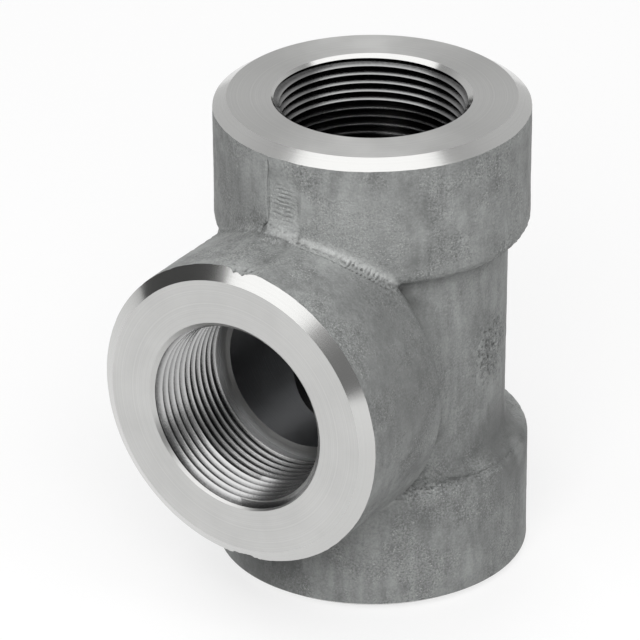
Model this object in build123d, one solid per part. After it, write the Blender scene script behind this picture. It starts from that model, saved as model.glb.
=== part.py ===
from build123d import *
import math
import os

os.makedirs("parts", exist_ok=True)

# A forged steel pipe tee with three equal threaded sockets. It is one piece.
# Frame: millimetres, +Z up the run, +X out of the branch, and the origin at
# the middle of the lower run face, which the tee stands on.

# Reach of the three arms from the point where their axes cross
centre_to_end = 60.0

# Outside of the forging: the band at each end, the step down to the waist,
# and the flat sides of the branch's neck
band_r = 38.2
band_start = 30.3
waist_step = 5.2
neck_flat = 2.5
neck_corner_r = 15.0
waist_r = band_r - waist_step
neck_half_w = waist_r - neck_flat

# Shoulder: the rounding turns part of the way and meets the underside in a
# crease, and the foot of the underside is eased by one sloping step
shoulder_r = 3.2
shoulder_round_deg = 54.0
shoulder_slope_deg = 72.0
foot_ease = 1.6

# Rounded corner between the branch band and the run bands
crotch_fillet_r = 1.9

# Land left where the flash was trimmed off, in the plane of the three axes
land_w = 8.6
land_depth = 0.8
web_up = 7.4
web_out = 2.4
web_nose = 2.8

# Turned ends
bevel_in = 3.4
bevel_back = 2.3

# Sockets: the hole as drilled for the taper thread, its 45 degree countersink
# and its run-out groove
drill_r = 21.83
sink_depth = 2.27
thread_depth = 25.2
groove_depth = 0.87
groove_len = 1.9
mouth_r = drill_r + sink_depth
groove_r = drill_r + groove_depth
shoulder_depth = thread_depth + groove_len

# Waterway through the middle
water_r = 19.45

centre = Vector(0, 0, centre_to_end)

# Each arm is drawn as distance across and height along its own axis
up_plane = Plane(origin=centre, x_dir=(1, 0, 0), z_dir=(0, -1, 0))
down_plane = Plane(origin=centre, x_dir=(1, 0, 0), z_dir=(0, 1, 0))
out_plane = Plane(origin=centre, x_dir=(0, 0, 1), z_dir=(0, 1, 0))
arm_planes = [up_plane, down_plane, out_plane]


# Corner points of one arm's outline, from the waist out to the end
def arm_points(neck_r):
    slope = math.radians(shoulder_slope_deg)
    turn = math.radians(shoulder_round_deg)
    turn_r = band_r - shoulder_r * (1 - math.cos(turn))
    turn_h = band_start - shoulder_r * math.sin(turn)
    half_r = band_r - shoulder_r * (1 - math.cos(turn / 2))
    half_h = band_start - shoulder_r * math.sin(turn / 2)
    foot_h = turn_h - (turn_r - neck_r) / math.tan(slope)
    ease_r = neck_r + foot_ease * math.sin(slope)
    ease_h = foot_h + foot_ease * math.cos(slope)
    return {
        "low": (neck_r, foot_h - foot_ease),
        "high": (ease_r, ease_h),
        "turn": (turn_r, turn_h),
        "half": (half_r, half_h),
        "start": (band_r, band_start),
        "foot_h": foot_h,
    }


# One arm as forged: waist, shoulder and band, turned about the arm's axis
def forged_arm(plane, neck_r):
    p = arm_points(neck_r)
    with BuildPart() as arm:
        with BuildSketch(plane):
            with BuildLine():
                Line((0, 0), (neck_r, 0))
                Line((neck_r, 0), p["low"])
                Line(p["low"], p["high"])
                Line(p["high"], p["turn"])
                ThreePointArc(p["turn"], p["half"], p["start"])
                Line(p["start"], (band_r, centre_to_end))
                Line((band_r, centre_to_end), (0, centre_to_end))
                Line((0, centre_to_end), (0, 0))
            make_face()
        revolve(axis=Axis(centre, plane.y_dir), revolution_arc=360)
    return arm.part


# The neck of the branch is narrower than it is high. Its section is the waist
# circle with two flat sides, and it runs into the underside of the shoulder.
neck_plane = Plane(origin=centre, x_dir=(0, 1, 0), z_dir=(1, 0, 0))
with BuildPart() as neck:
    with BuildSketch(neck_plane) as neck_section:
        Circle(waist_r)
        Rectangle(2 * neck_half_w, 2 * waist_r + 2, mode=Mode.INTERSECT)
        fillet(neck_section.vertices(), radius=neck_corner_r)
    extrude(amount=arm_points(waist_r)["foot_h"])

blank = forged_arm(up_plane, waist_r) + forged_arm(down_plane, waist_r)
blank = blank + forged_arm(out_plane, neck_half_w) + neck.part


# Rounded corner where the branch band meets a run band. Both have the same
# radius, so the corner follows an ellipse in a plane at 45 degrees, and each
# section is an arc that touches the two bands.
def crotch_section(turn, side):
    c = math.cos(turn)
    s = math.sin(turn)
    hub_r = band_r + crotch_fillet_r - 0.05
    hub = centre + Vector(hub_r * c, hub_r * s, side * hub_r * c)
    to_run = Vector(-c, -s, 0)
    to_branch = Vector(0, -s, -side * c)
    both = to_run + to_branch
    on_run = hub + to_run * crotch_fillet_r
    on_branch = hub + to_branch * crotch_fillet_r
    hollow = hub + both.normalized() * crotch_fillet_r
    inside = hub + both * (crotch_fillet_r * 1.35)
    arc = ThreePointArc(on_run, hollow, on_branch)
    return Face(Wire([arc, Line(on_branch, inside), Line(inside, on_run)]))


crotch_turn = math.degrees(math.acos(band_start / band_r))
crotch_steps = 14
for side in (1, -1):
    sections = []
    for i in range(crotch_steps + 1):
        turn = crotch_turn * (2 * i / crotch_steps - 1) * 1.06
        sections.append(crotch_section(math.radians(turn), side))
    blank = blank + loft(sections)


# Outline of the trimmed land, a little inside the outline of the blank. A web
# is left in each crotch: it slopes out from the run and ends in a short nose.
def land_outline():
    p = arm_points(waist_r)
    far = centre_to_end + 4
    with BuildSketch(up_plane) as land:
        for quarter in (0, -90, 180):
            with BuildSketch(Plane.XY.rotated((0, 0, quarter))) as one:
                with BuildLine():
                    Line((0, 0), (waist_r, 0))
                    Line((waist_r, 0), p["low"])
                    Line(p["low"], p["high"])
                    Line(p["high"], p["turn"])
                    ThreePointArc(p["turn"], p["half"], p["start"])
                    Line(p["start"], (band_r, far))
                    Line((band_r, far), (0, far))
                    mirror(about=Plane.YZ)
                make_face()
            add(one.sketch)
        offset(amount=-land_depth, kind=Kind.INTERSECTION)
        corner = band_r - land_depth
        for side in (1, -1):
            root = (corner - 1, side * (corner - 1))
            top = (corner - 1, side * (corner + web_up))
            slope_top = (corner, side * (corner + web_up))
            nose_top = (corner + web_out, side * (corner + web_nose))
            nose_low = (corner + web_out, side * (corner - 1))
            with BuildLine():
                Polyline(root, top, slope_top, nose_top, nose_low, close=True)
            make_face()
    return land.sketch


land = land_outline()
plate = extrude(land, amount=land_w / 2, both=True)
span = 2 * (centre_to_end + 10)
slab = Pos(0, 0, centre_to_end) * Box(span, land_w, span)
blank = blank - (slab - plate)
blank = blank + plate

# Turned ends: the face and its bevel are cut through skin and land alike
past = 8.0
bevel_rate = bevel_back / bevel_in
for plane in arm_planes:
    with BuildPart() as facing:
        with BuildSketch(plane):
            face_r = band_r - bevel_in
            wide_r = band_r + past
            wide_h = centre_to_end - (wide_r - face_r) * bevel_rate
            with BuildLine():
                Line((0, centre_to_end), (face_r, centre_to_end))
                Line((face_r, centre_to_end), (wide_r, wide_h))
                Line((wide_r, wide_h), (wide_r, centre_to_end + past))
                Line((wide_r, centre_to_end + past), (0, centre_to_end + past))
                Line((0, centre_to_end + past), (0, centre_to_end))
            make_face()
        revolve(axis=Axis(centre, plane.y_dir), revolution_arc=360)
    blank = blank - facing.part

# Sockets and waterway: countersink, drilled hole, run-out groove, shoulder
thread_end = centre_to_end - thread_depth
shoulder_h = centre_to_end - shoulder_depth
for plane in arm_planes:
    with BuildPart() as bore:
        with BuildSketch(plane):
            with BuildLine():
                Line((0, 0), (water_r, 0))
                Line((water_r, 0), (water_r, shoulder_h))
                Line((water_r, shoulder_h), (groove_r, shoulder_h))
                Line((groove_r, shoulder_h), (groove_r, thread_end))
                Line((groove_r, thread_end), (drill_r, thread_end))
                Line((drill_r, thread_end), (drill_r, centre_to_end - sink_depth))
                Line((drill_r, centre_to_end - sink_depth), (mouth_r + 1, centre_to_end + 1))
                Line((mouth_r + 1, centre_to_end + 1), (0, centre_to_end + 1))
                Line((0, centre_to_end + 1), (0, 0))
            make_face()
        revolve(axis=Axis(centre, plane.y_dir), revolution_arc=360)
    blank = blank - bore.part

tee_body = blank.solids().sort_by(SortBy.VOLUME)[-1]
tee_body.label = "tee_body"
export_step(tee_body, "parts/tee_body.step")
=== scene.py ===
import math

import bmesh
import bpy
import numpy as np
from mathutils import Matrix, Vector, noise


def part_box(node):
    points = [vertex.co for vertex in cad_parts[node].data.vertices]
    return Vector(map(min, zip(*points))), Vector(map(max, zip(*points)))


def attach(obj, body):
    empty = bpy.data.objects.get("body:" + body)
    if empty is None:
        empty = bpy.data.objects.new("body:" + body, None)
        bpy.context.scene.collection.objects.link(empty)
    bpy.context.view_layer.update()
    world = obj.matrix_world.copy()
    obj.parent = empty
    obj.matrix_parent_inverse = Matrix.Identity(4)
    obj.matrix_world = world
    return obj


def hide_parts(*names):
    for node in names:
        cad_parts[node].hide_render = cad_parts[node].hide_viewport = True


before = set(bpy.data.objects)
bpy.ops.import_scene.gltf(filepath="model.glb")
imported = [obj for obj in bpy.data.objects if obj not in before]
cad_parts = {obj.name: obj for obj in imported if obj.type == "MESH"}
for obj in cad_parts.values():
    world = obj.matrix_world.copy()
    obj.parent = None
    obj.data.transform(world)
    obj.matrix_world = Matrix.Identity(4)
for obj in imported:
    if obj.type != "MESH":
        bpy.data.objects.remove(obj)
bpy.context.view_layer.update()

# The forging is worked out in millimetres about the point where the three axes
# cross, and scaled to metres when it is done.
MM = 0.001
low_corner, high_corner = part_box("tee_body")
CENTRE_Z = (low_corner.z + high_corner.z) / 2
CROSSING = Vector((0, 0, CENTRE_Z))
REACH = (high_corner.z - low_corner.z) / 2 / MM
BAND_R = (high_corner.y - low_corner.y) / 2 / MM

# Outside of the forging: the waist, the branch's neck with its flat sides, and at
# each end a shoulder with a hollow at its foot, a rounding and a straight band
WAIST_R = 33.0
NECK_HALF_W = 30.5
BAND_START = 30.3
SHOULDER_R = 3.2
SHOULDER_TURN = 54.0
SHOULDER_SLOPE = 72.0
HOLLOW_R = 3.0
PAST_END = 4.0

# How the arms join. The branch's own round waist lies buried in its neck, both
# start behind the crossing, and the last three say how soft each corner is.
BURIED = 3.5
BURIED_HOLLOW_R = 0.5
START_BACK = 5.0
NECK_EDGE_SOFT = 1.2
NECK_TOP_SOFT = 3.5
NECK_FOOT_SOFT = 1.2

# Rounded corner between the branch and run bands. It ends a small step below the
# skin of the branch.
CROTCH_R = 2.3
CROTCH_STEP = 0.35

# Land left by the trimmed flash: it runs round in the plane of the three axes.
# On the run its left edge is crisp and its right edge soft. On the branch it is
# narrower, and both edges are soft. It rises almost to the skin near the run's
# ends, on the branch's side.
LAND_DEPTH = 0.8
RUN_LAND = (-4.8, 3.8)
BRANCH_LAND = (-1.4, 3.8)
LAND_NARROWS = (40, 52)
LAND_FOOT = (39.5, 43)
LAND_RISES = (50, 56)
LAND_RISE = 0.8

# Half widths over which its edges fade, at their crispest, and what is added to
# them at the land's foot, towards the run's ends, and out on the branch
LEFT_SOFT = 0.3
LEFT_SOFT_AT_FOOT = 0.8
LEFT_SOFT_ON_BRANCH = 0.9
RIGHT_SOFT = 0.7
RIGHT_SOFT_UP = 0.5
RIGHT_SOFT_OUT = 1.9

# Web in the crotch, as (out, up) from the corner of the land, before its corners
# are rounded
WEB = [(-2, -2), (-2, 8.0), (-0.6, 6.4), (0.1, 4.6), (1.0, 3.1), (2.0, 2.1), (2.6, 1.4),
       (2.8, 0.2), (2.8, -2)]
WEB_ROUND = 0.5
WEB_SOFT = 1.2

# Turned ends
BEVEL_IN = 3.4
BEVEL_BACK = 2.3
FACE_R = BAND_R - BEVEL_IN

# Sockets. The taper thread's radii are those at the end face, and they shrink with
# depth. Its countersink, run-out groove, shoulder and waterway follow.
PITCH = 25.4 / 11.5
TAPER = 1 / 32
ROOT_R = 24.02
CREST_R = 22.26
DRILL_R = 21.83
THREAD_FLAT = 0.08
THREAD_FLANK = 30.0
THREAD_DEPTH = 25.2
SINK_R = 24.1
GROOVE_R = 22.7
SHOULDER_DEPTH = 27.1
WATER_R = 19.45

# How far round each thread starts, in turns
START_TURN = {"up": 0.24, "down": 0.4, "out": 0.37}

# Edges that bend by more than this many degrees are sharp
SHARP_BEND = 30

# Material slots of the tee. The branch has its own four turned finishes, which
# follow those of the run.
SKIN, FACE, BEVEL, THREAD, BORE = range(5)
TURNED_FINISHES = 4


# Signed distances, negative inside the steel

def outline_distance(across, along, outline):
    """Distance to an open outline of (across, along) corners, negative on its near side."""
    nearest = np.full(across.shape, np.inf)
    for (r0, h0), (r1, h1) in zip(outline[:-1], outline[1:]):
        dr = r1 - r0
        dh = h1 - h0
        share = ((across - r0) * dr + (along - h0) * dh) / (dr * dr + dh * dh)
        share = np.clip(share, 0, 1)
        gap = (across - r0 - share * dr) ** 2 + (along - h0 - share * dh) ** 2
        nearest = np.minimum(nearest, gap)
    edge = np.interp(along, [h for r, h in outline], [r for r, h in outline])
    return np.where(across < edge, -1, 1) * np.sqrt(nearest)


def polygon_distance(x, y, corners):
    """Distance to a closed outline, negative inside it."""
    nearest = np.full(x.shape, np.inf)
    inside = np.zeros(x.shape, bool)
    for (x0, y0), (x1, y1) in zip(corners, corners[1:] + corners[:1]):
        dx = x1 - x0
        dy = y1 - y0
        share = np.clip(((x - x0) * dx + (y - y0) * dy) / (dx * dx + dy * dy), 0, 1)
        gap = (x - x0 - share * dx) ** 2 + (y - y0 - share * dy) ** 2
        nearest = np.minimum(nearest, gap)
        if dy:
            crossed = (y0 > y) != (y1 > y)
            inside ^= crossed & (x < x0 + (y - y0) * dx / dy)
    return np.where(inside, -1, 1) * np.sqrt(nearest)


def arm_outline(neck_r, hollow_r, steps=7):
    """Outline of one arm as (radius, height): neck, hollow, underside, rounding and band."""
    slope = math.radians(SHOULDER_SLOPE)
    turn = math.radians(SHOULDER_TURN)
    turn_r = BAND_R - SHOULDER_R * (1 - math.cos(turn))
    turn_h = BAND_START - SHOULDER_R * math.sin(turn)
    foot_h = turn_h - (turn_r - neck_r) / math.tan(slope)
    hub_h = foot_h - hollow_r * math.tan(slope / 2)
    outline = [(neck_r, -3 * REACH), (neck_r, hub_h - 0.01)]
    for angle in np.linspace(math.pi, math.pi - slope, steps):
        radius = neck_r + hollow_r * (1 + math.cos(angle))
        outline.append((radius, hub_h + hollow_r * math.sin(angle)))
    for angle in np.linspace(turn, 0, steps):
        radius = BAND_R - SHOULDER_R * (1 - math.cos(angle))
        outline.append((radius, BAND_START - SHOULDER_R * math.sin(angle)))
    outline.append((BAND_R, 3 * REACH))
    return outline


RUN_OUTLINE = arm_outline(WAIST_R, HOLLOW_R)
BRANCH_OUTLINE = arm_outline(NECK_HALF_W - BURIED, BURIED_HOLLOW_R)


def round_join(a, b, radius):
    """Union of two solids with a hollow corner of that radius where they meet square."""
    deep = np.sqrt(np.maximum(radius - a, 0) ** 2 + np.maximum(radius - b, 0) ** 2)
    return np.maximum(radius, np.minimum(a, b)) - deep


def soft_min(a, b, width):
    """Union of two solids with a soft corner between them."""
    near = np.maximum(width - np.abs(a - b), 0)
    return np.minimum(a, b) - near * near / (4 * width)


def soft_max(a, b, width):
    """What two solids share, with soft edges."""
    return -soft_min(-a, -b, width)


def ease(value, low, high):
    """Goes smoothly from 0 at low to 1 at high."""
    share = np.clip((value - low) / (high - low), 0, 1)
    return share * share * (3 - 2 * share)


def bell(value, middle, half_width):
    """1 at the middle, falling to nothing a little past half_width on either side."""
    return np.exp(-((value - middle) / half_width) ** 2)


def land_share(x, y, up):
    """How much of the surface is land: 1 on it, 0 off it, with a crisp or a soft edge between."""
    on_branch = ease(x, *LAND_NARROWS)
    left = RUN_LAND[0] + on_branch * (BRANCH_LAND[0] - RUN_LAND[0])
    right = RUN_LAND[1] + on_branch * (BRANCH_LAND[1] - RUN_LAND[1])
    foot = 1 - ease(up, *LAND_FOOT)
    left_soft = LEFT_SOFT + LEFT_SOFT_AT_FOOT * foot + LEFT_SOFT_ON_BRANCH * on_branch
    right_soft = RIGHT_SOFT + RIGHT_SOFT_UP * ease(up - BAND_R, 4, 18)
    right_soft = right_soft + RIGHT_SOFT_OUT * ease(x - BAND_R, 0, 3)
    past_left = ease(y, left - left_soft, left + left_soft)
    return past_left * (1 - ease(y, right - right_soft, right + right_soft))


def blank_distance(x, y, z):
    """Distance to the arms and the branch's neck, as they were before the flash was trimmed."""
    from_branch = np.hypot(y, z)
    behind = -x - START_BACK
    run = outline_distance(np.hypot(x, y), np.abs(z), RUN_OUTLINE)
    branch = np.maximum(outline_distance(from_branch, x, BRANCH_OUTLINE), behind)
    neck = soft_max(from_branch - WAIST_R, np.abs(y) - NECK_HALF_W, NECK_EDGE_SOFT)
    neck = np.maximum(neck, np.maximum(x - BAND_START, behind))
    blank = np.minimum(round_join(run, branch + CROTCH_STEP, CROTCH_R), branch)
    blank = np.minimum(blank, soft_min(branch, neck, NECK_TOP_SOFT))
    return np.minimum(blank, soft_min(run, neck, NECK_FOOT_SOFT))


def land_distance(x, z):
    """Distance to the outline of the land and its webs."""
    up = np.abs(z)
    outline = outline_distance(np.abs(x), up, RUN_OUTLINE)
    outline = np.minimum(outline, np.maximum(outline_distance(up, x, RUN_OUTLINE), -x))
    run_end = ease(up, *LAND_RISES) * ease(x, 0, 10)
    outline = outline + LAND_DEPTH * (1 - LAND_RISE * run_end)
    corner = BAND_R - LAND_DEPTH
    web = polygon_distance(x - corner, up - corner, WEB) - WEB_ROUND
    return soft_min(outline, web, WEB_SOFT)


def forging_distance(p):
    """Distance from points (mm, an N x 3 array) to the skin of the forging."""
    x, y, z = p[:, 0], p[:, 1], p[:, 2]
    blank = blank_distance(x, y, z)
    return blank + land_share(x, y, np.abs(z)) * (land_distance(x, z) - blank)


# Marks on the forged skin: how deep or high they are, the spacing of the chatter
# and the ridges, and how far the groove curls outwards at its foot
GROOVE_DEEP = 0.34
GROOVE_CURL = 1.7
LAND_HOLLOW_DEEP = 0.1
CHATTER_DEEP = 0.17
CHATTER_PITCH = 1.05
BURR_HIGH = 0.16
RIM_LINE_DEEP = 0.16
CORNER_ROUGH = 0.15
RIDGE_DEEP = 0.075
RIDGE_PITCH = 0.82
LIP_ROUGH = 0.34
CREASE_DEEP = 0.75
PATCH_DEEP = 0.85
NECK_ROUGH = 0.22
SCRATCH_DEEP = 0.14
BEVEL_DIP = 0.15
BEVEL_TORN = 1.1
LEAST_DEPTH = 0.02

# Scratch beside the land's foot, as (across, up): where it starts and how it runs
SCRATCH_START = (7.6, 40.2)
SCRATCH_RUN = (5.5, 3.3)
SCRATCH_LENGTH = math.hypot(*SCRATCH_RUN)

# Crease across the lower shoulder: its radius and height at some turns round the run
CREASE_TURNS = [38, 53, 70, 83, 94, 112]
CREASE_R = [33.45, 33.6, 35.2, 36.7, 37.3, 37.85]
CREASE_Z = [-25.8, -26.0, -27.2, -27.7, -28.0, -28.9]


class Place:
    """Where points of the skin lie: in mm, and in degrees round the run."""

    def __init__(self, points):
        self.points = points
        self.x, self.y, self.z = points[:, 0], points[:, 1], points[:, 2]
        self.up = np.abs(self.z)
        self.around = np.degrees(np.arctan2(self.y, self.x))
        self.from_run = np.hypot(self.x, self.y)
        self.from_branch = np.hypot(self.y, self.z)
        self.on_waist = ease(WAIST_R + 2 - self.from_run, 0, 1)

    def noise(self, scale, shift, octaves=1):
        """Smooth noise of about -1 to 1 at each point. Scale is in waves per mm."""
        moved = self.points * scale + np.array(shift)
        if octaves == 1:
            return np.array([noise.noise(Vector(p)) for p in moved])
        return np.array([noise.fractal(Vector(p), 0.8, 2.0, octaves) for p in moved])


def skin_waves(at):
    """Unevenness of the whole skin, with scattered pits."""
    depth = 0.16 + 0.09 * at.noise(0.09, (0, 0, 0)) + 0.05 * at.noise(0.33, (7, 3, 1))
    depth += 0.03 * at.noise(0.8, (0, 5, 0), 2)
    return depth + 0.25 * np.maximum(at.noise(0.6, (2, 9, 4)) - 0.34, 0)


def slim_waist(at):
    """The waist is a little slimmer on its far side, most of all low down."""
    share = ease(WAIST_R + 3 - at.from_run, 0, 2) * ease(26 - at.up, 0, 6) * ease(-at.x, -14, 4)
    return share * (0.1 + 0.35 * ease(-at.z, -18, 20))


def land_marks(at):
    """Groove, hollow, chatter and burr on the land of the upper run arm."""
    on_land = (at.z > 0) * ease(at.x, 34, 36) * (1 - ease(at.x, 40, 42))

    # A fine groove runs along the left edge and curls outwards at the foot, and a
    # shallow hollow runs along the right edge
    curl = GROOVE_CURL * (1 - ease(at.up, 38.2, 41.5))
    edge = RUN_LAND[0] - curl + 0.12 * at.noise(0.3, (1, 6, 2))
    groove = GROOVE_DEEP * bell(at.y, edge, 0.32)
    groove *= ease(at.up, 36.5, 39) * (1 - ease(at.up, 56, 57.5))
    hollow = LAND_HOLLOW_DEEP * bell(at.y, 3.3, 1.0)
    hollow *= ease(at.up, 38, 40) * (1 - ease(at.up, 47, 51))

    # The trimming tool left chatter across the land, and a burr below the bevel
    chatter = bell(at.y, -0.6, 3.1) * bell(at.up, 46.4, 4.3)
    chatter *= 0.75 + 0.5 * at.noise(0.5, (3, 1, 8))
    wave = (at.z + 0.05 * at.y + 0.35 * at.noise(0.45, (4, 4, 4))) / CHATTER_PITCH
    chatter *= CHATTER_DEEP * (np.sin(2 * math.pi * wave) + 1)
    burr = BURR_HIGH * bell(at.y, -1.8, 2.8) * bell(at.up, 56.2, 1.5)
    burr *= 0.4 + at.noise(1.1, (5, 5, 1), 2)
    return on_land * (groove + hollow + chatter - burr)


def corner_marks(at):
    """Groove along the outer edge of the rounded corner, and ridges across its far end."""
    off_branch = np.abs(at.from_branch - BAND_R)
    beside = np.abs(at.y)
    rim_line = bell(at.from_run, BAND_R + CROTCH_R + 0.1, 0.3) * (off_branch < 1.2)
    rim_line *= RIM_LINE_DEEP * ease(at.y, 3.6, 6) * (1 - ease(at.y, 23, 26))
    in_corner = ease(at.from_run, BAND_R + 0.1, BAND_R + 0.8) * (at.from_run < BAND_R + 2.9)
    in_corner *= (off_branch < 2.8) * (at.z > 0)
    uneven = CORNER_ROUGH * at.noise(1.2, (4, 2, 8), 2)
    ridges = RIDGE_DEEP * (np.sin(2 * math.pi * at.y / RIDGE_PITCH) + 1)
    ridges *= ease(beside, 14, 17) * (1 - ease(beside, 23.5, 25))
    return rim_line + in_corner * (uneven + ridges)


def shoulder_lips(at):
    """Rough lips along the shoulders, roughest at one place above and one below."""
    lips = bell(at.up, BAND_START - 2.0, 2.0) * ease(at.from_run, 34, 36)
    below = 0.9 * bell(at.around, 60, 16) * (at.z < 0)
    above = 0.8 * bell(at.around, 86, 14) * (at.z > 0)
    return LIP_ROUGH * lips * (0.5 + below + above) * at.noise(1.0, (1, 1, 6), 2)


def lower_crease(at):
    """Crease that wanders across the lower shoulder."""
    off_r = at.from_run - np.interp(at.around, CREASE_TURNS, CREASE_R)
    off_z = at.z - np.interp(at.around, CREASE_TURNS, CREASE_Z)
    half_width = 1.25 + 0.45 * at.noise(0.5, (2, 7, 5))
    crease = CREASE_DEEP * bell(np.hypot(off_r, off_z), 0, half_width)
    return crease * ease(at.around, 34, 42) * (1 - ease(at.around, 98, 124))


def waist_patch(at):
    """Rough patch on the waist's far side."""
    patch = PATCH_DEEP * bell(at.around, 94, 12) * bell(at.z, 0, 8.5) * at.on_waist
    return patch * np.maximum(at.noise(0.8, (3, 3, 3), 2), -0.35)


def torn_neck(at):
    """Torn skin beside the branch's neck."""
    beside_neck = NECK_ROUGH * bell(at.around, 55, 9) * bell(at.z, 18.5, 5) * at.on_waist
    return beside_neck * at.noise(0.9, (6, 3, 2), 2)


def scratch(at):
    """Short scratch beside the land's foot."""
    across = at.y - SCRATCH_START[0]
    above = at.z - SCRATCH_START[1]
    along = (across * SCRATCH_RUN[0] + above * SCRATCH_RUN[1]) / SCRATCH_LENGTH ** 2
    off = (across * SCRATCH_RUN[1] - above * SCRATCH_RUN[0]) / SCRATCH_LENGTH
    return SCRATCH_DEEP * bell(off, 0, 0.28) * (along > 0) * (along < 1) * (at.x > 34)


def torn_bevel(at):
    """Torn skin where the branch's bevel cuts the land."""
    at_bevel = ease(at.x, REACH - 6.5, REACH - 3) * bell(at.y, 1.5, 4.6)
    torn = BEVEL_TORN * np.maximum(at.noise(0.7, (8, 1, 2), 2), -0.25)
    return at_bevel * (BEVEL_DIP * bell(at.y, 1.2, 1.9) + torn)


SKIN_MARKS = [skin_waves, slim_waist, land_marks, corner_marks, shoulder_lips, lower_crease,
              waist_patch, torn_neck, scratch, torn_bevel]


def relief(points):
    """Depth in mm by which the forged skin lies inside its smooth form."""
    at = Place(points)
    return np.maximum(sum(mark(at) for mark in SKIN_MARKS), LEAST_DEPTH)


# Skin mesh: the distance between the planes of its grid, and between those that
# cross an edge, and how fast it grows from one to the other
COARSE = 1.35
FINE = 0.55
SEAM_FINE = 0.5
GROWTH = 0.35
CELL_CORNERS = [(i, j, k) for i in (0, 1) for j in (0, 1) for k in (0, 1)]

# Edges that the grid's fine planes cross: the shoulders, the rounded corner along
# X and along Z, and the two edges of the land
SHOULDER_EDGE = (26.5, 30)
CORNER_EDGE_X = (37, 40.5)
CORNER_EDGE_Z = (37, 41)
LAND_EDGES = [(-5.4, -4.2), (3.0, 4.4)]

# How far the grid reaches beyond the bands, and how far inside its ends the skin is
# closed by flat lids
BEYOND = 1.5
LID_BACK = 1.2

# Parts of the skin with small forms. The faces of the fine zones are split in four,
# and then those of the finest zones. Each zone is given by its ranges in mm.
FAR = 99
LAND_X = (35, 40)
FINE_ZONES = {
    "land": {"x": (33, FAR), "y": (-7.2, 5.5), "up": (36, FAR)},
    "rounded corner": {"x": (0, FAR), "y": (-27, 27), "from_run": (BAND_R - 3.4, BAND_R + 3.4),
                       "from_branch": (BAND_R - 3, BAND_R + 3)},
    "shoulder lips": {"x": (-15, FAR), "y": (8, FAR), "up": (25, 30), "from_run": (33, FAR)},
    "around patch": {"x": (-FAR, 8), "y": (25, FAR), "z": (-16, 14), "from_run": (0, WAIST_R + 1)},
}
FINEST_ZONES = {
    "groove": {"x": LAND_X, "y": (-6.7, -4.1), "z": (37, 58)},
    "chatter": {"x": LAND_X, "y": (-4.5, 5.4), "z": (40, 51.5)},
    "rim line": {"x": (0, FAR), "beside": (3, 26), "z": (0, FAR),
                 "from_run": (BAND_R + CROTCH_R - 0.8, BAND_R + CROTCH_R + 0.8),
                 "from_branch": (BAND_R - 2.6, BAND_R + 2.6)},
    "ridges": {"x": (0, FAR), "beside": (14, 25.5), "z": (0, FAR),
               "from_run": (BAND_R - 0.6, BAND_R + 2.8),
               "from_branch": (BAND_R - 2.6, BAND_R + 2.6)},
    "crease": {"x": (-8, FAR), "y": (20, FAR), "z": (-28.8, -25), "from_run": (33.1, FAR)},
    "scratch": {"x": (34, 39), "y": (6.5, 14), "off_scratch": (-1, 1)},
    "patch": {"x": (-13, 8), "y": (29, FAR), "z": (-10, 10), "from_run": (0, WAIST_R + 1)},
}


def in_zones(point, zones):
    """True where the point lies in one of the zones."""
    x, y, z = point
    slope = SCRATCH_RUN[1] / SCRATCH_RUN[0]
    place = {
        "x": x,
        "y": y,
        "z": z,
        "up": abs(z),
        "beside": abs(y),
        "from_run": math.hypot(x, y),
        "from_branch": math.hypot(y, z),
        "off_scratch": (y - SCRATCH_START[0]) * slope - (z - SCRATCH_START[1]),
    }
    return any(all(low < place[name] < high for name, (low, high) in zone.items())
               for zone in zones.values())


def graded(low, high, fine, zones):
    """Coordinates from low to high, coarse apart, and fine apart inside the zones."""
    values = [low]
    while values[-1] < high:
        here = values[-1]
        step = COARSE
        for start, end in zones:
            gap = max(start - here, here - end, 0)
            step = min(step, fine + GROWTH * gap)
        values.append(here + step)
    return np.array(values)


def grid_field(axes, distance):
    """The distance at each point of a grid."""
    field = np.empty([len(a) for a in axes])
    plane_y, plane_z = np.meshgrid(axes[1], axes[2], indexing="ij")
    for i, x in enumerate(axes[0]):
        points = np.column_stack([np.full(plane_y.size, x), plane_y.ravel(), plane_z.ravel()])
        field[i] = distance(points).reshape(plane_y.shape)
    return field


def net_vertices(axes, field, cells):
    """For each cell, the middle of the points where the surface cuts its edges."""
    total = np.zeros((len(cells), 3))
    hits = np.zeros(len(cells))
    for start in CELL_CORNERS:
        for axis in range(3):
            if start[axis]:
                continue
            end = list(start)
            end[axis] = 1
            a = cells + start
            b = cells + end
            fa = field[tuple(a.T)]
            fb = field[tuple(b.T)]
            cut = (fa < 0) != (fb < 0)
            share = np.where(cut, fa / np.where(cut, fa - fb, 1), 0)[:, None]
            pa = np.column_stack([axes[n][a[:, n]] for n in range(3)])
            pb = np.column_stack([axes[n][b[:, n]] for n in range(3)])
            total += np.where(cut[:, None], pa + share * (pb - pa), 0)
            hits += cut
    return total / hits[:, None]


def net_quads(inside, number):
    """A quad round each grid edge that the surface cuts, which faces outwards."""
    quads = []
    size = inside.shape
    for axis in range(3):
        u = (axis + 1) % 3
        v = (axis + 2) % 3
        near = [slice(1, n - 1) for n in size]
        near[axis] = slice(0, size[axis] - 1)
        far = list(near)
        far[axis] = slice(1, size[axis])
        first = inside[tuple(near)]
        edges = np.argwhere(first != inside[tuple(far)])
        outward = first[tuple(edges.T)]
        edges = edges + [s.start for s in near]
        ring = []
        for du, dv in ((-1, -1), (0, -1), (0, 0), (-1, 0)):
            cell = edges.copy()
            cell[:, u] += du
            cell[:, v] += dv
            ring.append(number[tuple(cell.T)])
        ring = np.column_stack(ring)
        quads.append(np.where(outward[:, None], ring, ring[:, ::-1]))
    return np.concatenate(quads)


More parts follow.
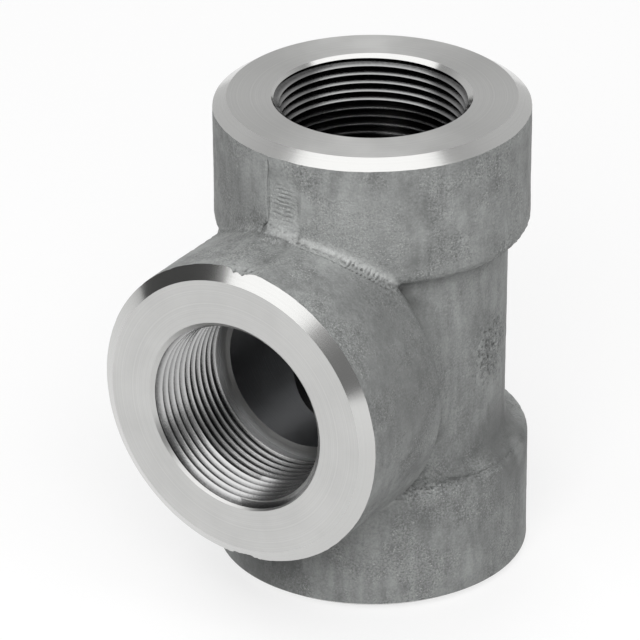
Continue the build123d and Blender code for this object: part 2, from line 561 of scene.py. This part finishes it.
def surface_net(axes, distance):
    """Vertices and quads of the surface where distance is zero on a graded grid."""
    field = grid_field(axes, distance)
    inside = field < 0
    nx, ny, nz = [len(a) - 1 for a in axes]
    count = sum(inside[i:nx + i, j:ny + j, k:nz + k].astype(int) for i, j, k in CELL_CORNERS)
    cells = np.argwhere((count > 0) & (count < len(CELL_CORNERS)))
    number = np.full(count.shape, -1)
    number[tuple(cells.T)] = np.arange(len(cells))
    return net_vertices(axes, field, cells), net_quads(inside, number)


def gradient(points, distance, step=0.02):
    """How fast the distance grows along each axis."""
    slopes = []
    for axis in range(3):
        shift = np.zeros(3)
        shift[axis] = step
        slopes.append((distance(points + shift) - distance(points - shift)) / (2 * step))
    return np.column_stack(slopes)


def settle(points, distance, rounds=4, longest=0.4):
    """Moves points onto the surface where distance is zero."""
    for _ in range(rounds):
        slope = gradient(points, distance)
        size = np.maximum((slope ** 2).sum(axis=1, keepdims=True), 0.2)
        points = points - np.clip(distance(points)[:, None], -longest, longest) * slope / size
    return points


def refine(vertices, faces, zones):
    """Splits the faces of the zones in four, and joins them cleanly to their neighbours."""
    mesh = bpy.data.meshes.new("net")
    mesh.from_pydata([tuple(v) for v in vertices], [], [tuple(f) for f in faces])
    net = bmesh.new()
    net.from_mesh(mesh)
    edges = set()
    for face in net.faces:
        if in_zones(face.calc_center_median(), zones):
            edges.update(face.edges)
    edges = sorted(edges, key=lambda e: e.index)
    bmesh.ops.subdivide_edges(net, edges=edges, cuts=1, use_grid_fill=True)
    net.to_mesh(mesh)
    net.free()
    places = np.empty(3 * len(mesh.vertices))
    mesh.vertices.foreach_get("co", places)
    faces = [tuple(face.vertices) for face in mesh.polygons]
    bpy.data.meshes.remove(mesh)
    return places.reshape(-1, 3), faces


def mesh_object(name, vertices, faces, slots):
    """An object with the tee's finishes. Slots has one number for each face."""
    mesh = bpy.data.meshes.new(name)
    mesh.from_pydata([tuple(v) for v in vertices], [], [tuple(f) for f in faces])
    for material in FINISHES:
        mesh.materials.append(material)
    mesh.polygons.foreach_set("material_index", slots)
    thing = bpy.data.objects.new(name, mesh)
    bpy.context.scene.collection.objects.link(thing)
    return thing


def forged_skin():
    """The tee as forged, closed a little past the ends, which are turned off later."""
    side = BAND_R + BEYOND
    far_end = REACH + PAST_END
    xs = graded(-side, far_end, FINE, [SHOULDER_EDGE, CORNER_EDGE_X])
    ys = graded(-side, side, SEAM_FINE, LAND_EDGES)
    half = graded(0, far_end, FINE, [SHOULDER_EDGE, CORNER_EDGE_Z])
    zs = np.concatenate([-half[:0:-1], half])

    def closed(p):
        ends = np.maximum(np.abs(p[:, 2]), p[:, 0]) - (far_end - LID_BACK)
        return np.maximum(forging_distance(p), ends)

    vertices, faces = surface_net((xs, ys, zs), closed)
    vertices = settle(vertices, closed)
    for zones in (FINE_ZONES, FINEST_ZONES):
        vertices, faces = refine(vertices, faces, zones)
    vertices = settle(vertices, closed, 2)
    slope = gradient(vertices, closed, 0.3)
    slope /= np.maximum(np.linalg.norm(slope, axis=1, keepdims=True), 1e-6)
    vertices = vertices - slope * relief(vertices)[:, None]
    return mesh_object("tee_body_forged", vertices, faces, [SKIN] * len(faces))


# Tools that cut the machined surfaces. Each is made along +Z and turned to its arm.

ARMS = {
    "up": Matrix.Identity(4),
    "down": Matrix.Rotation(math.pi, 4, "Y"),
    "out": Matrix.Rotation(math.pi / 2, 4, "Y"),
}

# How far the tools reach past the steel, and how far they overlap each other
FACING_WIDE = 8
FACING_HIGH = 9
TRIM_WIDE = 2
SINK_HIGH = 2
OVERLAP = 1
GROOVE_OVERLAP = 0.05

# Sides of each turned tool, and steps of the thread in one turn
FACE_SIDES = 240
SINK_SIDES = 192
BORE_SIDES = 144
THREAD_SIDES = 96

# The thread has some turns past its ends, and a fan to a far point closes each end
EXTRA_TURNS = 2
TURN_CORNERS = 4
FAN_REACH = 30


def arm_slot(kind, arm):
    """The material slot of one kind of machined surface on an arm."""
    return kind + TURNED_FINISHES if arm == "out" else kind


def turned(name, outline, slots, sides, arm):
    """A solid turned about an arm's axis from (radius, height) corners, one slot a stretch."""
    vertices = []
    rings = []
    for radius, height in outline:
        if radius == 0:
            rings.append([len(vertices)] * sides)
            vertices.append((0, 0, height))
            continue
        rings.append(list(range(len(vertices), len(vertices) + sides)))
        for i in range(sides):
            angle = 2 * math.pi * i / sides
            vertices.append((radius * math.cos(angle), radius * math.sin(angle), height))
    faces = []
    marks = []
    for slot, low, high in zip(slots, rings[:-1], rings[1:]):
        for i in range(sides):
            j = (i + 1) % sides
            corners = list(dict.fromkeys([low[i], low[j], high[j], high[i]]))
            if len(corners) > 2:
                faces.append(corners)
                marks.append(arm_slot(slot, arm))
    return mesh_object(name, [ARMS[arm] @ Vector(v) for v in vertices], faces, marks)


def cylinder(radius, low, high):
    """Outline of a plain cylinder, for turned()."""
    return [(0, low), (radius, low), (radius, high), (0, high)]


def facing_tool(arm):
    """What is turned off an arm's end to make its face and its bevel."""
    wide_r = BAND_R + FACING_WIDE
    wide_h = REACH - (wide_r - FACE_R) * BEVEL_BACK / BEVEL_IN
    high = REACH + FACING_HIGH
    outline = [(0, REACH), (FACE_R, REACH), (wide_r, wide_h), (wide_r, high), (0, high)]
    return turned("facing", outline, [FACE, BEVEL, FACE, FACE], FACE_SIDES, arm)


def thread_column(part_turn, start_turn):
    """Corners of the thread at one angle, from the mouth down, with four for each turn."""
    angle = 2 * math.pi * part_turn
    half_root = THREAD_FLAT / 2
    column = []
    for turn in range(-EXTRA_TURNS, math.ceil(THREAD_DEPTH / PITCH) + EXTRA_TURNS):
        middle = PITCH * (turn + start_turn - part_turn)
        root = ROOT_R - TAPER * middle
        crest = max(DRILL_R, CREST_R - TAPER * middle)
        half_crest = half_root + (root - crest) * math.tan(math.radians(THREAD_FLANK))
        for radius, depth in ((crest, middle - half_crest), (root, middle - half_root),
                              (root, middle + half_root), (crest, middle + half_crest)):
            column.append((radius * math.cos(angle), radius * math.sin(angle), REACH - depth))
    return column


def close_thread(vertices, faces, rows):
    """Closes the two open ends of a thread by fans to points on its axis."""
    top = len(vertices)
    vertices.append((0, 0, REACH + FAN_REACH))
    bottom = len(vertices)
    vertices.append((0, 0, REACH - THREAD_DEPTH - FAN_REACH))
    used = dict.fromkeys(edge for face in faces for edge in zip(face, face[1:] + face[:1]))
    for a, b in used:
        if (b, a) not in used:
            at_mouth = min(a % rows, b % rows) < EXTRA_TURNS * TURN_CORNERS
            faces.append((b, a, top if at_mouth else bottom))


def thread_tool(arm, start_turn):
    """The air inside the taper thread, as a right hand helix that runs past both of its ends."""
    columns = [thread_column(i / THREAD_SIDES, start_turn) for i in range(THREAD_SIDES)]
    rows = len(columns[0])
    vertices = [v for column in columns for v in column]
    faces = []
    for i in range(THREAD_SIDES):
        j = (i + 1) % THREAD_SIDES
        # The last column meets the first one, a turn nearer to the mouth
        shift = 0 if j else TURN_CORNERS
        for row in range(shift, rows - 1):
            a = i * rows + row
            b = j * rows + row - shift
            faces.append((a, a + 1, b + 1, b))
    close_thread(vertices, faces, rows)
    vertices = [ARMS[arm] @ Vector(v) for v in vertices]
    return mesh_object("thread", vertices, faces, [arm_slot(THREAD, arm)] * len(faces))


def apply_boolean(target, tool, operation):
    """Cuts, adds or intersects a tool with the target, and deletes the tool."""
    step = target.modifiers.new("step", "BOOLEAN")
    step.object = tool
    step.operation = operation
    step.solver = "MANIFOLD"
    graph = bpy.context.evaluated_depsgraph_get()
    mesh = bpy.data.meshes.new_from_object(target.evaluated_get(graph))
    target.modifiers.remove(step)
    old = target.data
    target.data = mesh
    bpy.data.meshes.remove(old)
    bpy.data.objects.remove(tool)


def bore_tool(arm, start_turn):
    """All the air in one arm: countersink, thread, run-out groove, shoulder and waterway."""
    air = thread_tool(arm, start_turn)
    thread_end = REACH - THREAD_DEPTH
    keep = cylinder(ROOT_R + TRIM_WIDE, thread_end, REACH + OVERLAP)
    apply_boolean(air, turned("trim", keep, [THREAD] * 3, THREAD_SIDES, arm), "INTERSECT")

    # The countersink slopes at 45 degrees
    low = REACH - (SINK_R - DRILL_R + OVERLAP)
    high = REACH + SINK_HIGH
    sink = [(0, low), (DRILL_R - OVERLAP, low), (SINK_R + SINK_HIGH, high), (0, high)]
    sink_slot = FACE if arm == "out" else BEVEL
    apply_boolean(air, turned("sink", sink, [sink_slot] * 3, SINK_SIDES, arm), "UNION")

    floor = REACH - SHOULDER_DEPTH
    groove = cylinder(GROOVE_R, floor, thread_end + GROOVE_OVERLAP)
    groove_slots = [FACE, BORE, BORE]
    apply_boolean(air, turned("groove", groove, groove_slots, BORE_SIDES, arm), "UNION")

    # The upper arm's tool cuts the waterway of the whole run
    if arm != "down":
        low = -floor - OVERLAP if arm == "up" else 0
        water = cylinder(WATER_R, low, floor + OVERLAP)
        apply_boolean(air, turned("water", water, [BORE] * 3, BORE_SIDES, arm), "UNION")
    return air


class Nodes:
    """One node tree, with short calls for the nodes that materials and walls use."""

    def __init__(self, tree):
        self.tree = tree

    def put(self, value, socket):
        if isinstance(value, bpy.types.NodeSocket):
            self.tree.links.new(value, socket)
        else:
            socket.default_value = value

    def vector(self, operation, a, b=None):
        node = self.tree.nodes.new("ShaderNodeVectorMath")
        node.operation = operation
        self.put(a, node.inputs[0])
        if b is not None:
            self.put(b, node.inputs[1])
        return node.outputs["Value" if operation in ("LENGTH", "DOT_PRODUCT") else "Vector"]

    def math(self, operation, a, b):
        node = self.tree.nodes.new("ShaderNodeMath")
        node.operation = operation
        self.put(a, node.inputs[0])
        self.put(b, node.inputs[1])
        return node.outputs[0]

    def spread(self, value, low, high, to_low=0.0, to_high=1.0, smooth=False):
        """Takes the range from low to high to the range from to_low to to_high."""
        node = self.tree.nodes.new("ShaderNodeMapRange")
        node.interpolation_type = "SMOOTHSTEP" if smooth else "LINEAR"
        self.put(value, node.inputs["Value"])
        names = ("From Min", "From Max", "To Min", "To Max")
        for name, number in zip(names, (low, high, to_low, to_high)):
            node.inputs[name].default_value = number
        return node.outputs["Result"]


# Finishes. All patterns are worked out from the place on the object, in millimetres.

class Shading(Nodes):
    """One material and its nodes."""

    def __init__(self, name):
        self.material = bpy.data.materials.new(name)
        self.material.use_nodes = True
        super().__init__(self.material.node_tree)
        self.shader = self.tree.nodes["Principled BSDF"]
        place = self.tree.nodes.new("ShaderNodeTexCoord")
        self.place = self.vector("MULTIPLY", place.outputs["Object"], (1 / MM,) * 3)
        self.place = self.vector("SUBTRACT", self.place, (0, 0, CENTRE_Z / MM))

    def set(self, name, value):
        self.put(value, self.shader.inputs[name])

    def noise(self, scale, detail, shift=(0, 0, 0), stretch=(1, 1, 1), rough=0.5):
        node = self.tree.nodes.new("ShaderNodeTexNoise")
        where = self.vector("MULTIPLY", self.place, stretch)
        self.put(self.vector("ADD", where, shift), node.inputs["Vector"])
        node.inputs["Scale"].default_value = scale
        node.inputs["Detail"].default_value = detail
        node.inputs["Roughness"].default_value = rough
        return node.outputs["Fac"]

    def mix(self, share, a, b):
        node = self.tree.nodes.new("ShaderNodeMix")
        node.data_type = "RGBA"
        self.put(share, node.inputs["Factor"])
        self.put((*a, 1) if isinstance(a, tuple) else a, node.inputs["A"])
        self.put((*b, 1) if isinstance(b, tuple) else b, node.inputs["B"])
        return node.outputs["Result"]

    def bump(self, height, depth, strength=1.0, onto=None):
        node = self.tree.nodes.new("ShaderNodeBump")
        node.inputs["Distance"].default_value = depth * MM
        self.put(strength, node.inputs["Strength"])
        self.put(height, node.inputs["Height"])
        if onto is not None:
            self.put(onto, node.inputs["Normal"])
        return node.outputs["Normal"]

    def add(self, shade, pattern, strength):
        """Adds a pattern about 0.5 to a shade."""
        off_middle = self.math("SUBTRACT", pattern, 0.5)
        return self.math("ADD", shade, self.math("MULTIPLY", off_middle, strength))

    def near(self, place, inner, reach, share=1.0):
        """The share as far as inner from a place, falling smoothly to 0 at its reach."""
        away = self.vector("LENGTH", self.vector("SUBTRACT", self.place, place))
        return self.spread(away, inner, reach, share, 0.0, smooth=True)


# Scale on the forged skin: its darkest and lightest plain colour, and the colours of bright dots,
# of dark pits, which also serves for the painted shade in hollows, and of the painted highlight
# along the rounded corner
SKIN_DARK = (0.20, 0.206, 0.203)
SKIN_LIGHT = (0.415, 0.426, 0.42)
DOT_COLOUR = (0.75, 0.76, 0.75)
PIT_AND_HOLLOW_SHADE_COLOUR = (0.10, 0.103, 0.10)
CORNER_HIGHLIGHT_COLOUR = (0.72, 0.73, 0.72)

# Darker and lighter skin, as (place, reach, strength, grey). The darker patches are mostly painted
# shade: the shadow under the branch, and shade on the lower ledge, the branch's side and the upper
# band's left. The lighter ones are mostly painted light on the upper band, the land and a lip. The
# rest is the scale's own uneven tone.
SHADE_LIGHT_AND_TONE_PATCHES = [
    ((-9, 35, -27), 18, 0.75, 0.14), ((3, 33, -23), 7, 0.2, 0.16),
    ((28.8, 25, 53), 6, 0.2, 0.16), ((38, 33, 13), 28, 0.5, 0.16),
    ((36, -8, -50), 16, 0.65, 0.14), ((33, -20, 44), 16, 0.35, 0.16),
    ((33, 18, 42), 17, 0.35, 0.5), ((57, 1, 38), 7, 0.35, 0.6),
    ((40, 25, 29), 15, 0.35, 0.16), ((37.4, 0, 46), 10, 0.3, 0.6),
    ((-10, 36.8, -30), 5, 0.35, 0.5), ((12, 33.5, -27), 7, 0.35, 0.12),
]

# Rougher skin, as (place, reach)
ROUGH_PATCHES = [
    ((-3, 33, 0), 10), ((20, 31, -29), 11), ((-9, 36, -29), 7), ((37, -1, 46), 7),
    ((57, 1, 38), 7), ((0, 37, 28), 8), ((2, 38, 56), 5), ((31, 22, 36), 7),
    ((27, 21, 19), 6), ((36, 8, 40), 7), ((5, 35.5, -27.5), 8),
]


def rough_share(s, from_run):
    """1 where the skin is rough, and little where it is smooth. The waist is mostly smooth."""
    cloud = s.noise(0.085, 3, (7, 2, 4), rough=0.6)
    rough = s.spread(cloud, 0.45, 0.6, 0.0, 1.0, smooth=True)
    off_waist = s.spread(from_run, WAIST_R + 0.5, WAIST_R + 3, 0.25, 1.0)
    rough = s.math("MULTIPLY", rough, off_waist)
    for place, reach in ROUGH_PATCHES:
        rough = s.math("MAXIMUM", rough, s.near(place, 0.5 * reach, reach))
    return s.spread(rough, 0.0, 1.0, 0.22, 1.0)


def scale_colour(s, rough):
    """Clouds, grain, streaks and specks of the scale, with bright dots and dark pits on them, and
    patches of painted shade and painted light.
    """
    broad = s.math("MULTIPLY", s.noise(0.045, 3, (3, 8, 1)), 0.45)
    cloud = s.math("MULTIPLY", s.noise(0.17, 3, (11, 2, 5), rough=0.55), 0.55)
    shade = s.math("ADD", broad, cloud)
    shade = s.add(shade, s.noise(1.5, 3, rough=0.65), 0.5)
    shade = s.add(shade, s.noise(0.4, 2, (5, 1, 3), stretch=(1, 1, 0.2)), 0.45)
    shade = s.add(shade, s.noise(2.2, 1, (1, 8, 6)), s.math("MULTIPLY", rough, 0.9))
    colour = s.mix(s.spread(shade, 0.25, 0.75), SKIN_DARK, SKIN_LIGHT)
    for scale, shift, tint in ((1.9, (2, 2, 7), DOT_COLOUR), (1.6, (9, 5, 1), PIT_AND_HOLLOW_SHADE_COLOUR)):
        spots = s.spread(s.noise(scale, 1, shift), 0.66, 0.74, 0.0, 0.5)
        colour = s.mix(s.math("MULTIPLY", spots, rough), colour, tint)
    # Patches of painted shade and painted light, partly the scale's own tone
    for place, reach, share, grey in SHADE_LIGHT_AND_TONE_PATCHES:
        tint = (grey, 1.025 * grey, 1.01 * grey)
        colour = s.mix(s.near(place, 0.3 * reach, reach, share), colour, tint)
    return colour


def corner_highlight_share(s, from_run, from_branch):
    """Share of the painted highlight along the rounded corner, strongest on its right side."""
    outer = s.math("MAXIMUM", from_run, from_branch)
    inner = s.math("MINIMUM", from_run, from_branch)
    corner_end = BAND_R + CROTCH_R
    corner = s.spread(outer, corner_end - 0.5, corner_end, 1.0, 0.0)
    corner = s.math("MULTIPLY", corner, s.spread(inner, BAND_R - 0.3, BAND_R + 0.2))
    right = s.spread(s.vector("DOT_PRODUCT", s.place, (0, 1, 0)), -6.0, 4.0, 0.0, 0.3)
    return s.math("MULTIPLY", corner, right)


def forged_finish():
    """Matt grey scale on the forged skin."""
    s = Shading("forged_skin")
    from_run = s.vector("LENGTH", s.vector("MULTIPLY", s.place, (1, 1, 0)))
    from_branch = s.vector("LENGTH", s.vector("MULTIPLY", s.place, (0, 1, 1)))
    rough = rough_share(s, from_run)
    colour = scale_colour(s, rough)
    # Painted highlight along the rounded corner
    colour = s.mix(corner_highlight_share(s, from_run, from_branch), colour, CORNER_HIGHLIGHT_COLOUR)

    # Hollows and creases are darkened towards the pit colour by pointiness: painted shade
    bend = s.tree.nodes.new("ShaderNodeNewGeometry").outputs["Pointiness"]
    colour = s.mix(s.spread(bend, 0.45, 0.496, 0.85, 0.0), colour, PIT_AND_HOLLOW_SHADE_COLOUR)
    s.set("Base Color", colour)
    s.set("Metallic", 0.2)
    s.set("Specular IOR Level", 0.3)
    s.set("Roughness", s.spread(s.noise(0.5, 2, (1, 4, 2)), 0.3, 0.7, 0.50, 0.62))
    fine = s.bump(s.noise(2.4, 3, rough=0.7), 0.26, rough)
    s.set("Normal", s.bump(s.noise(0.7, 2, (6, 6, 0), rough=0.6), 0.2, onto=fine))
    return s.material


# Turned surfaces: their colours, and the share of its colour that a thread's root keeps under its
# painted shade
FACE_COLOUR = (0.62, 0.62, 0.61)
BEVEL_COLOUR = (0.59, 0.59, 0.58)
BORE_COLOUR = (0.38, 0.385, 0.395)
ROOT_SHADE = 0.22


def turned_finish(name, along_x, colour, roughness, lean, marks, vary=0.14,
                  inside=False, threaded=False):
    """A turned surface. Its highlights are drawn out across the turning marks."""
    s = Shading(name)
    across = s.vector("MULTIPLY", s.place, (0, 1, 1) if along_x else (1, 1, 0))
    along = s.vector("MULTIPLY", s.place, (1, 0, 0) if along_x else (0, 0, 1))
    radius = s.vector("LENGTH", across)
    height = s.vector("LENGTH", along)
    s.set("Tangent", along if inside else across)
    s.set("Metallic", 1.0)
    s.set("Anisotropic", lean)
    ring = s.tree.nodes.new("ShaderNodeTexNoise")
    ring.noise_dimensions = "1D"
    s.put(s.math("ADD", radius, height) if inside else radius, ring.inputs["W"])
    ring.inputs["Scale"].default_value = 2.5
    ring.inputs["Detail"].default_value = 3
    rings = ring.outputs["Fac"]
    cloud = s.noise(0.09, 3, (4, 7, 2))
    shade = s.math("ADD", s.math("MULTIPLY", rings, 0.4), s.math("MULTIPLY", cloud, 0.6))
    tone = s.mix(s.spread(shade, 0.35, 0.65), tuple((1 - vary) * c for c in colour), colour)
    normal = s.bump(rings, marks)
    if threaded:
        # Roots are painted darker than the crests, as painted shade broken up by noise. On the
        # branch that painted shade starts deeper, so its roots stay lighter.
        depth = s.math("SUBTRACT", REACH, height)
        form = s.math("ADD", radius, s.math("MULTIPLY", depth, TAPER))
        lighter_branch_roots = 0.25 if along_x else 0.0
        root = s.spread(form, CREST_R + lighter_branch_roots, CREST_R + 0.7 + 1.4 * lighter_branch_roots)
        torn = s.spread(s.noise(1.6, 3, rough=0.7), 0.35, 0.65, 0.75, 1.0)
        dark = tuple(ROOT_SHADE * c for c in colour)
        tone = s.mix(s.math("MULTIPLY", root, torn), tone, dark)
        normal = s.bump(s.noise(2.4, 3, rough=0.7), 0.025, onto=normal)
    s.set("Base Color", tone)
    s.set("Roughness", s.spread(cloud, 0.3, 0.7, roughness * 0.9, roughness * 1.15))
    s.set("Normal", normal)
    return s.material


def arm_finishes(part, along_x, face_rough, face_lean, thread_lit_grey, thread_rough):
    """The turned finishes of the run or the branch, in the order of their slots."""
    thread_colour = (thread_lit_grey,) * 3
    return [
        turned_finish(part + "_face", along_x, FACE_COLOUR, face_rough, face_lean, 0.008),
        turned_finish(part + "_bevel", along_x, BEVEL_COLOUR, 0.16, 0.4, 0.002, vary=0.04),
        turned_finish(part + "_thread", along_x, thread_colour, thread_rough, 0.2, 0.012,
                      inside=True, threaded=True),
        turned_finish(part + "_bore", along_x, BORE_COLOUR, 0.36, 0.4, 0.04, inside=True),
    ]


FINISHES = [forged_finish()]
# The run's thread is given a darker grey than the branch's, though both are the same steel: painted
# shade on the run's thread and painted light on the branch's.
FINISHES += arm_finishes("run", False, face_rough=0.42, face_lean=0.85,
                         thread_lit_grey=0.34, thread_rough=0.19)
FINISHES += arm_finishes("branch", True, face_rough=0.34, face_lean=0.6,
                         thread_lit_grey=0.53, thread_rough=0.22)


def mark_finish_edges(mesh):
    """Makes the edges between two different finishes sharp."""
    net = bmesh.new()
    net.from_mesh(mesh)
    for edge in net.edges:
        if len({face.material_index for face in edge.link_faces}) > 1:
            edge.smooth = False
    net.to_mesh(mesh)
    net.free()


# The tee: forged, then faced and bored at its three ends

tee = forged_skin()
for arm in ARMS:
    apply_boolean(tee, facing_tool(arm), "DIFFERENCE")
for arm in ARMS:
    apply_boolean(tee, bore_tool(arm, START_TURN[arm]), "DIFFERENCE")

tee.data.transform(Matrix.Translation(CROSSING) @ Matrix.Scale(MM, 4))
tee.data.shade_smooth()
tee.data.set_sharp_from_angle(angle=math.radians(SHARP_BEND))
mark_finish_edges(tee.data)
tee.name = "tee_body_finished"
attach(tee, "root")
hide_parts("tee_body")

# Floor, light and camera

FLOOR_HALF_W = 6.0
FLOOR_COLOUR = 0.34
FLOOR_GLOW = 0.665

# Walls: how bright they look, what share of that falls on things, and the parts
# that are brighter or darker, as (azimuth, elevation, half width, soft edge, share
# of the level)
WALL_LEVEL = 0.42
WALL_LIGHT = 0.12
PANELS = [(212, 25, 42, 30, 1.7), (-62, 10, 20, 10, 0.2), (28, 4, 8, 16, 0.6)]


def seen_directly(nodes):
    """1 for the rays of the camera, mirrors and glass, and 0 for the light that falls on things."""
    rays = nodes.tree.nodes.new("ShaderNodeLightPath").outputs
    seen = nodes.math("MAXIMUM", rays["Is Camera Ray"], rays["Is Glossy Ray"])
    return nodes.math("MAXIMUM", seen, rays["Is Transmission Ray"])


def paper_floor():
    """A pale floor. It is brought up to white where the camera, a mirror or glass looks at it."""
    mesh = bpy.data.meshes.new("floor")
    corners = [(-1, -1), (1, -1), (1, 1), (-1, 1)]
    vertices = [(x * FLOOR_HALF_W, y * FLOOR_HALF_W, 0) for x, y in corners]
    mesh.from_pydata(vertices, [], [(0, 1, 2, 3)])
    floor = bpy.data.objects.new("floor", mesh)
    scene.collection.objects.link(floor)
    paper = bpy.data.materials.new("floor_paper")
    paper.use_nodes = True
    shader = paper.node_tree.nodes["Principled BSDF"]
    shader.inputs["Base Color"].default_value = (FLOOR_COLOUR, FLOOR_COLOUR, FLOOR_COLOUR, 1)
    shader.inputs["Roughness"].default_value = 1.0
    shader.inputs["Specular IOR Level"].default_value = 0.0
    shader.inputs["Emission Color"].default_value = (1, 1, 1, 1)
    nodes = Nodes(paper.node_tree)
    glow = nodes.math("MULTIPLY", seen_directly(nodes), FLOOR_GLOW)
    nodes.put(glow, shader.inputs["Emission Strength"])
    mesh.materials.append(paper)


def direction(azimuth, elevation):
    """Unit vector, with azimuth from +X towards +Y, both in degrees."""
    a = math.radians(azimuth)
    e = math.radians(elevation)
    return Vector((math.cos(a) * math.cos(e), math.sin(a) * math.cos(e), math.sin(e)))


def studio_world():
    """Plain walls, with the brighter and darker parts that the bevels mirror."""
    world = bpy.data.worlds.new("studio")
    world.use_nodes = True
    nodes = Nodes(world.node_tree)
    toward = nodes.tree.nodes.new("ShaderNodeTexCoord").outputs["Generated"]
    level = WALL_LEVEL
    for azimuth, elevation, half_width, soft, share in PANELS:
        across = nodes.vector("DOT_PRODUCT", toward, direction(azimuth, elevation))
        outer = math.cos(math.radians(half_width + soft))
        inner = math.cos(math.radians(half_width))
        panel = nodes.spread(across, outer, inner, 1.0, share, smooth=True)
        level = nodes.math("MULTIPLY", level, panel)
    seen = nodes.spread(seen_directly(nodes), 0.0, 1.0, WALL_LIGHT, 1.0)
    background = nodes.tree.nodes["Background"]
    background.inputs["Color"].default_value = (1, 1, 1, 1)
    nodes.put(nodes.math("MULTIPLY", level, seen), background.inputs["Strength"])
    return world


def softbox(name, azimuth, elevation, distance, width, height, brightness):
    """A lamp that faces the crossing. Its brightness is that of its face, where 1 is white."""
    light = bpy.data.lights.new(name, "AREA")
    light.shape = "RECTANGLE"
    light.size = width
    light.size_y = height
    light.energy = brightness * math.pi * width * height
    lamp = bpy.data.objects.new(name, light)
    scene.collection.objects.link(lamp)
    away = direction(azimuth, elevation)
    lamp.location = CROSSING + away * distance
    lamp.rotation_euler = away.to_track_quat("Z", "Y").to_euler()
    return lamp


scene = bpy.context.scene
scene.view_settings.view_transform = "Standard"
scene.world = studio_world()
paper_floor()
softbox("overhead", azimuth=30, elevation=61, distance=1.0, width=2.7, height=1.34,
        brightness=1.22)
key = softbox("key", azimuth=28, elevation=36, distance=1.5, width=1.0, height=0.7,
              brightness=5.4)
fill = softbox("fill", azimuth=213, elevation=25, distance=1.5, width=1.2, height=0.9,
               brightness=3.0)
for lamp in (key, fill):
    lamp.visible_glossy = False

# The camera stands where the photo's camera stood: its direction from the crossing,
# its distance and how far it looks past the crossing were fitted to the edges of
# the tee.
TO_CAMERA = Vector((0.7485, 0.4805, 0.4571)).normalized()
RIGHT = Vector((-0.5402, 0.8415, 0)).normalized()
ABOVE = TO_CAMERA.cross(RIGHT)
DISTANCE = 1.2908
OFF_RIGHT = 0.009832
OFF_UP = 0.000158
LENS = 298.88
SENSOR_WIDTH = 36
back = (TO_CAMERA + RIGHT * OFF_RIGHT + ABOVE * OFF_UP).normalized()
right = (RIGHT - back * RIGHT.dot(back)).normalized()
above = back.cross(right)
camera_data = bpy.data.cameras.new("camera")
camera_data.sensor_width = SENSOR_WIDTH
camera_data.lens = LENS
camera_data.clip_start = 0.1
camera_data.clip_end = 50
camera = bpy.data.objects.new("camera", camera_data)
scene.collection.objects.link(camera)
turn = Matrix((right, above, back)).transposed().to_4x4()
camera.matrix_world = Matrix.Translation(CROSSING + TO_CAMERA * DISTANCE) @ turn
scene.camera = camera
